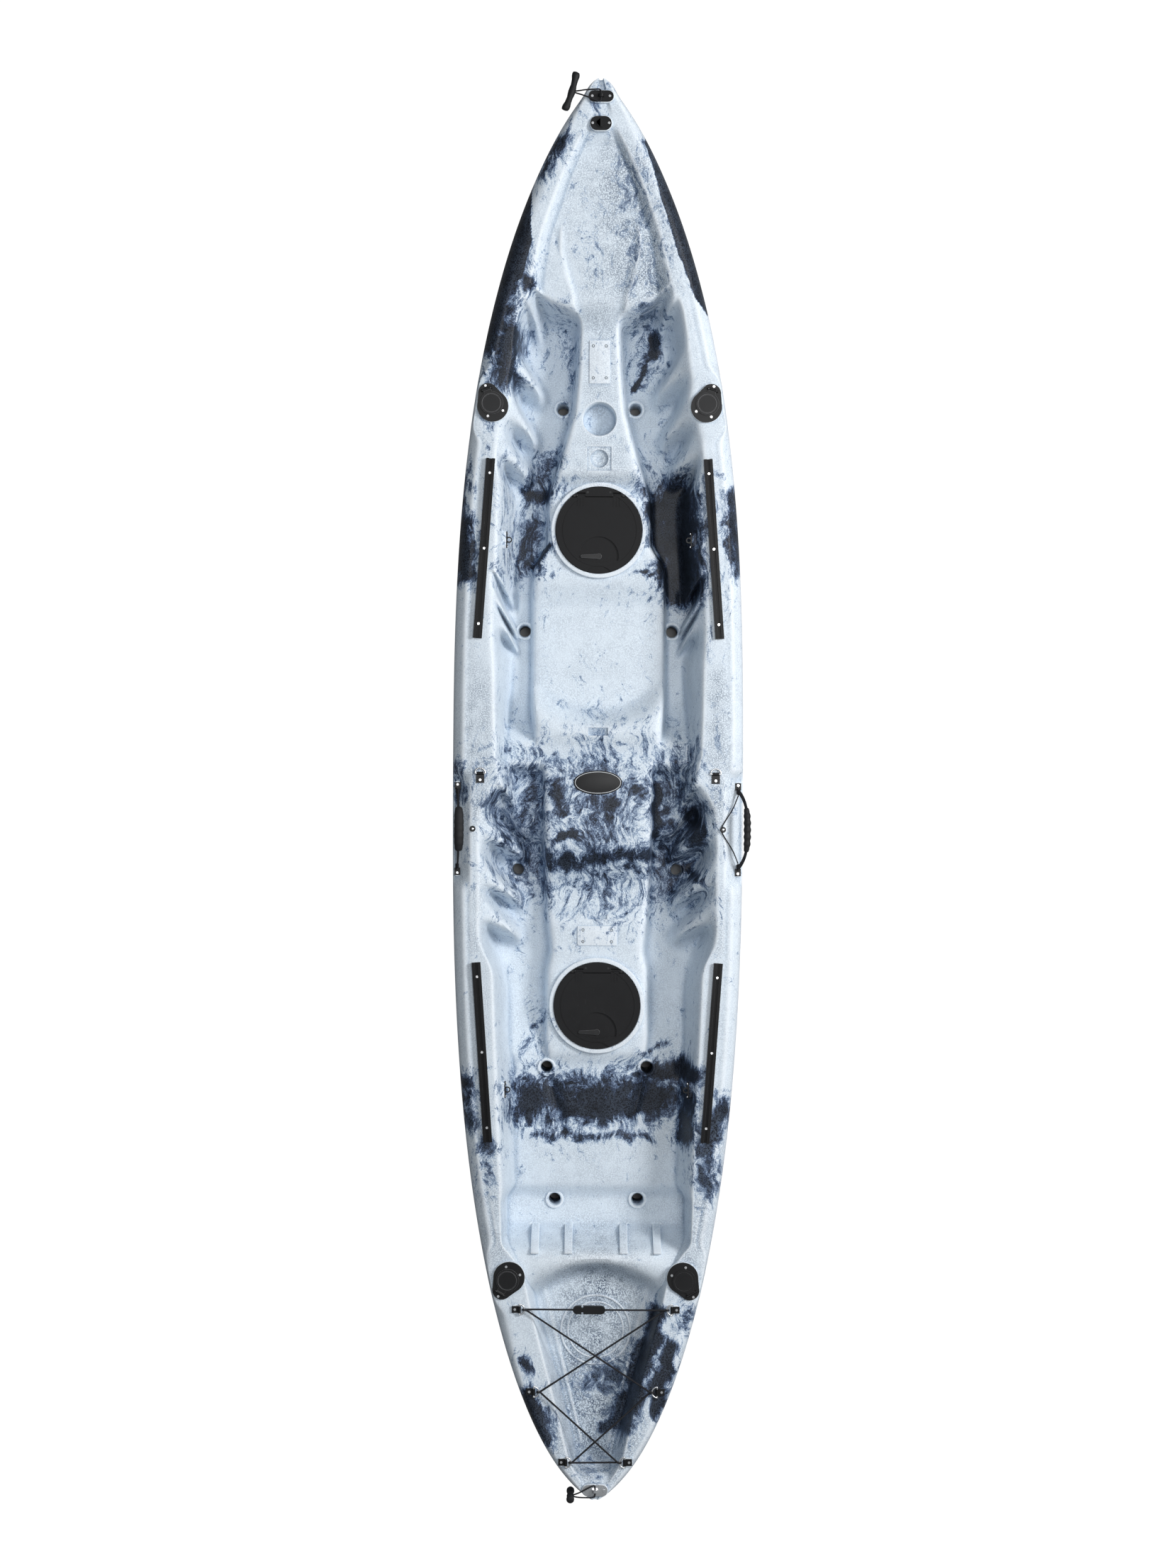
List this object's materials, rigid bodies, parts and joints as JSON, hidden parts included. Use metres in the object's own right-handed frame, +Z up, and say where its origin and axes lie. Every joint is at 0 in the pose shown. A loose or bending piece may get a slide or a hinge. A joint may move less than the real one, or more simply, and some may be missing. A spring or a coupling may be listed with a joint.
{
  "type": "tandem kayak",
  "caption": "Sit-on-top tandem kayak: hollow moulded hull with two cockpits, hinged hatches, flush rod holders, slide tracks, carry handles and a stern well.",
  "frame": {"origin": "on the keel, under the middle of the boat's length and beam", "axes": "+X towards the bow, +Y to port, +Z up"},
  "size_m": [3.8194, 0.8068, 0.4062],
  "materials": {
    "hull_plastic": "satin marbled polyethylene",
    "black_plastic": "fine grained",
    "track_plastic": "extruded",
    "steel": "stainless",
    "rubber": "matt",
    "webbing": "woven",
    "brass": "machined"
  },
  "bodies": {
    "hull": {"hull_bottom": "hull_plastic", "deck": "hull_plastic", "front_hatch_ring": "black_plastic", "front_hatch_pins": "steel", "rear_hatch_ring": "black_plastic", "rear_hatch_pins": "steel", "hatch_screws": "steel", "port_bow_rod_holder": "black_plastic", "starboard_bow_rod_holder": "black_plastic", "port_stern_rod_holder": "black_plastic", "starboard_stern_rod_holder": "black_plastic", "rod_cap_pins": "steel", "rod_screw_set": "steel", "port_front_track": "track_plastic", "starboard_front_track": "track_plastic", "port_rear_track": "track_plastic", "starboard_rear_track": "track_plastic", "track_screw_set": "steel", "handle_anchors": "black_plastic", "handle_screws": "steel", "paddle_keeper_buttons": "black_plastic", "paddle_keeper_cords": "rubber", "deck_ring_tabs": "black_plastic", "stern_rings": "steel", "stern_ring_tabs": "black_plastic", "ring_tab_screws": "steel", "stern_bungee": "rubber", "bungee_hook": "black_plastic", "seat_pad_eyes": "black_plastic", "seat_pad_eye_screws": "steel", "bow_pad_eye": "black_plastic", "stern_pad_eye": "steel", "drain_flange": "black_plastic", "end_screws": "steel", "name_plate": "black_plastic", "accessory_inserts": "brass"},
    "front_lid": {"front_hatch_lid": "black_plastic", "front_hatch_gasket": "rubber"},
    "front_latch": {"front_latch_lever": "black_plastic", "front_latch_cam": "black_plastic"},
    "rear_lid": {"rear_hatch_lid": "black_plastic", "rear_hatch_gasket": "rubber"},
    "rear_latch": {"rear_latch_lever": "black_plastic", "rear_latch_cam": "black_plastic"},
    "port_bow_cap": {"port_bow_rod_cap": "black_plastic"},
    "starboard_bow_cap": {"starboard_bow_rod_cap": "black_plastic"},
    "port_stern_cap": {"port_stern_rod_cap": "black_plastic"},
    "starboard_stern_cap": {"starboard_stern_rod_cap": "black_plastic"},
    "port_handle": {"port_handle_strap": "webbing", "port_handle_grip": "black_plastic"},
    "starboard_handle": {"starboard_handle_strap": "webbing", "starboard_handle_grip": "black_plastic"},
    "port_ring": {"port_deck_ring": "steel"},
    "starboard_ring": {"starboard_deck_ring": "steel"},
    "bow_toggle": {"bow_toggle_cord": "rubber", "bow_toggle_grip": "black_plastic"},
    "stern_toggle": {"stern_toggle_cord": "rubber", "stern_toggle_grip": "black_plastic"},
    "drain": {"drain_plug": "black_plastic"}
  },
  "joints": [
    {"name": "front_lid_hinge", "type": "hinge", "parent": "hull", "child": "front_lid", "pos_m": [0.808, 0, 0.2095], "axis": [0, 1, 0], "range_deg": [0, 95]},
    {"name": "front_latch_turn", "type": "hinge", "parent": "front_lid", "child": "front_latch", "pos_m": [0.64, 0, 0.21], "axis": [0, 0, -1], "range_deg": [0, 165]},
    {"name": "rear_lid_hinge", "type": "hinge", "parent": "hull", "child": "rear_lid", "pos_m": [-0.493, 0, 0.1975], "axis": [0, 1, 0], "range_deg": [0, 95]},
    {"name": "rear_latch_turn", "type": "hinge", "parent": "rear_lid", "child": "rear_latch", "pos_m": [-0.661, 0, 0.198], "axis": [0, 0, -1], "range_deg": [0, 165]},
    {"name": "port_bow_cap_hinge", "type": "hinge", "parent": "hull", "child": "port_bow_cap", "pos_m": [1.08159, 0.30468, 0.31243], "axis": [-0.342, 0.9397, 0], "range_deg": [0, 110]},
    {"name": "starboard_bow_cap_hinge", "type": "hinge", "parent": "hull", "child": "starboard_bow_cap", "pos_m": [1.08159, -0.30468, 0.31243], "axis": [0.342, 0.9397, 0], "range_deg": [0, 110]},
    {"name": "port_stern_cap_hinge", "type": "hinge", "parent": "hull", "child": "port_stern_cap", "pos_m": [-1.35464, 0.258, 0.31755], "axis": [-0.5, -0.866, 0], "range_deg": [0, 110]},
    {"name": "starboard_stern_cap_hinge", "type": "hinge", "parent": "hull", "child": "starboard_stern_cap", "pos_m": [-1.35464, -0.258, 0.31755], "axis": [0.5, -0.866, 0], "range_deg": [0, 110]},
    {"name": "port_handle_swing", "type": "hinge", "parent": "hull", "child": "port_handle", "pos_m": [-0.104, 0.38, 0.2798], "axis": [1, 0, 0], "range_deg": [-75, 32]},
    {"name": "starboard_handle_swing", "type": "hinge", "parent": "hull", "child": "starboard_handle", "pos_m": [-0.104, -0.38, 0.2798], "axis": [1, 0, 0], "range_deg": [-64, 50]},
    {"name": "port_ring_swing", "type": "hinge", "parent": "hull", "child": "port_ring", "pos_m": [0.046, 0.318, 0.3042], "axis": [0, -1, 0], "range_deg": [0, 120]},
    {"name": "starboard_ring_swing", "type": "hinge", "parent": "hull", "child": "starboard_ring", "pos_m": [0.046, -0.318, 0.3042], "axis": [0, -1, 0], "range_deg": [0, 120]},
    {"name": "bow_toggle_swing", "type": "hinge", "parent": "hull", "child": "bow_toggle", "pos_m": [1.852, 0, 0.39764], "axis": [1, 0, 0], "range_deg": [0, 120]},
    {"name": "stern_toggle_swing", "type": "hinge", "parent": "hull", "child": "stern_toggle", "pos_m": [-1.873, 0, 0.36825], "axis": [1, 0, 0], "range_deg": [0, 120]},
    {"name": "drain_turn", "type": "hinge", "parent": "hull", "child": "drain", "pos_m": [1.783, 0, 0.37904], "axis": [0, 0, 1], "continuous": true}
  ]
}
